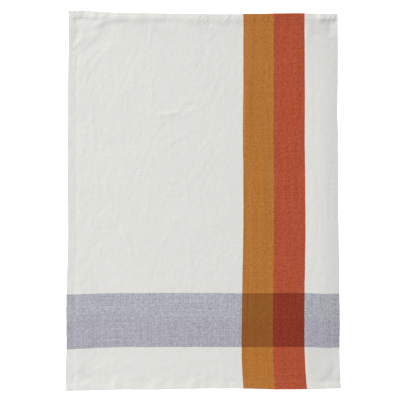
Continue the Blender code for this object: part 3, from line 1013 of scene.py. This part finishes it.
def seam_points(side, under):
    """Rings of points around the thread of every stitch in one row."""
    length = SEWN_LENGTH if side in SIDE_HEMS else SEWN_WIDTH
    margin = SIDE_UNDER_MARGIN if under and side in SIDE_HEMS else ROW_MARGIN
    count = int((length - 2 * margin) / STITCH_PITCH)
    starts = margin + STITCH_PITCH * (np.arange(count) + (0.5 if under else 0.0))
    along, rise, thickness = np.array(STITCH_SHAPE).T
    across, down = seam_line(side, starts[:, None] + along * STITCH_LENGTH)
    slip = THREAD_SLIP * rumple(across, down, *SLIP_LUMPS)
    x, y = plan_place(across, down)
    proud = (rise - THREAD_SINK[side]) * THREAD_RADIUS
    z = seam_height(side, across, down, under) + (-proud if under else proud)
    radius = THREAD_RADIUS * thickness
    if under:
        z = np.maximum(z, radius + UNDER_CLEARANCE)
    run = np.stack([np.gradient(x, axis=1), np.gradient(y, axis=1)], axis=-1)
    run = run / np.linalg.norm(run, axis=-1, keepdims=True)
    rings = []
    for k in range(THREAD_SIDES):
        angle = 2 * math.pi * k / THREAD_SIDES
        aside = slip + radius * math.cos(angle)
        rings.append(np.stack([
            x - laid_shift[0] - run[..., 1] * aside,
            y - laid_shift[1] + run[..., 0] * aside,
            z + radius * math.sin(angle),
        ], axis=-1))
    return np.stack(rings, axis=2)


def thread_faces(stitches):
    """Faces of the stitches' threads, each closed at both ends."""
    step = len(STITCH_SHAPE) * THREAD_SIDES
    faces = []
    for here in range(0, step - THREAD_SIDES, THREAD_SIDES):
        for k in range(THREAD_SIDES):
            there, after = here + THREAD_SIDES, (k + 1) % THREAD_SIDES
            faces.append((here + k, there + k, there + after, here + after))
    faces.append(tuple(range(THREAD_SIDES)))
    faces.append(tuple(reversed(range(step - THREAD_SIDES, step))))
    return [tuple(n + stitch * step for n in face) for stitch in range(stitches) for face in faces]


def thread_cotton():
    """Off-white twisted sewing thread."""
    material, nodes, links, shader = new_finish("hem_thread_cotton")
    spot = nodes.new("ShaderNodeTexCoord")
    ply = nodes.new("ShaderNodeTexWave")
    ply.wave_type = "BANDS"
    ply.bands_direction = "DIAGONAL"
    set_inputs(ply, {"Scale": PLY_SCALE, "Distortion": PLY_DISTORTION})
    # painted shade between the thread's plies
    tint = nodes.new("ShaderNodeValToRGB")
    for stop, share in zip(tint.color_ramp.elements, (PLY_PAINTED_SHADE, 1.0)):
        stop.color = (*(share * c for c in THREAD_COTTON), 1.0)
    rough = nodes.new("ShaderNodeMapRange")
    set_inputs(rough, {"To Min": PLY_SMOOTHEST, "To Max": PLY_ROUGHEST})
    bump = nodes.new("ShaderNodeBump")
    set_inputs(bump, {"Strength": PLY_STRENGTH, "Distance": PLY_DEPTH})
    for source, socket in (
        (spot.outputs["Object"], ply.inputs["Vector"]),
        (ply.outputs["Fac"], tint.inputs["Fac"]),
        (ply.outputs["Fac"], rough.inputs["Value"]),
        (ply.outputs["Fac"], bump.inputs["Height"]),
        (tint.outputs[0], shader.inputs["Base Color"]),
        (rough.outputs[0], shader.inputs["Roughness"]),
        (bump.outputs[0], shader.inputs["Normal"]),
    ):
        links.new(source, socket)
    set_inputs(shader, {"Specular IOR Level": 0.3, "Sheen Weight": 0.1})
    return material


hem_thread = thread_cotton()
for side in HEM_WIDTHS:
    face_row = seam_points(side, under=False)
    under_row = seam_points(side, under=True)
    points = np.concatenate([face_row.reshape(-1, 3), under_row.reshape(-1, 3)])
    shape = bpy.data.meshes.new("hem_stitches_" + side)
    shape.from_pydata(points.tolist(), [], thread_faces(len(face_row) + len(under_row)))
    shape.shade_smooth()
    shape.materials.append(hem_thread)
    row = place_in_scene("hem_stitches_" + side, shape)
    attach(row, "root")

# ----------------
# The studio. A plain white table top, a large soft light from the cloth's left, and an even
# white room around it. The camera looks straight down on the middle of the photo's frame.
# ----------------
TABLE_SIDE = 60.0
TABLE_WHITE = (0.90, 0.90, 0.90, 1.0)
TABLE_GLOW = 0.80
PURE_WHITE = (1.0, 1.0, 1.0, 1.0)
ROOM_LIGHT = 0.38
KEY_POWER = 850.0
KEY_SIDE = 2.4
KEY_PLACE = (-2.9, 3.5, 3.9)
KEY_AIM = (-1.6, -9.0, 7.6)  # turned past the cloth, so that its far end is as bright
FRAME_WIDTH = 0.7408
FRAME_CENTRE = (-0.0056, 0.0008)
CAMERA_LENS = 85.0
CAMERA_SENSOR = 36.0

table_mesh = bpy.data.meshes.new("table_top")
half = TABLE_SIDE / 2
table_corners = [(-half, -half, 0.0), (half, -half, 0.0), (half, half, 0.0), (-half, half, 0.0)]
table_mesh.from_pydata(table_corners, [], [(0, 1, 2, 3)])
table_finish, _, _, table_shader = new_finish("table_white")
set_inputs(table_shader, {"Base Color": TABLE_WHITE, "Roughness": 0.9, "Specular IOR Level": 0.2})
set_inputs(table_shader, {"Emission Color": PURE_WHITE, "Emission Strength": TABLE_GLOW})
table_mesh.materials.append(table_finish)
table_top = place_in_scene("table_top", table_mesh)

room = bpy.data.worlds.new("white_room")
room.use_nodes = True
set_inputs(room.node_tree.nodes["Background"], {"Color": PURE_WHITE, "Strength": ROOM_LIGHT})
bpy.context.scene.world = room

key_lamp = bpy.data.lights.new("key_light", "AREA")
key_lamp.energy = KEY_POWER
key_lamp.size = KEY_SIDE
key_light = place_in_scene("key_light", key_lamp)
key_light.location = KEY_PLACE
key_turn = (Vector(KEY_AIM) - Vector(KEY_PLACE)).to_track_quat("-Z", "Y")
key_light.rotation_euler = key_turn.to_euler()

camera_data = bpy.data.cameras.new("camera_above")
camera_data.lens = CAMERA_LENS
camera_data.sensor_width = CAMERA_SENSOR
camera = place_in_scene("camera_above", camera_data)
camera.location = (*FRAME_CENTRE, FRAME_WIDTH * CAMERA_LENS / CAMERA_SENSOR)
bpy.context.scene.camera = camera
bpy.context.scene.view_settings.view_transform = "Standard"
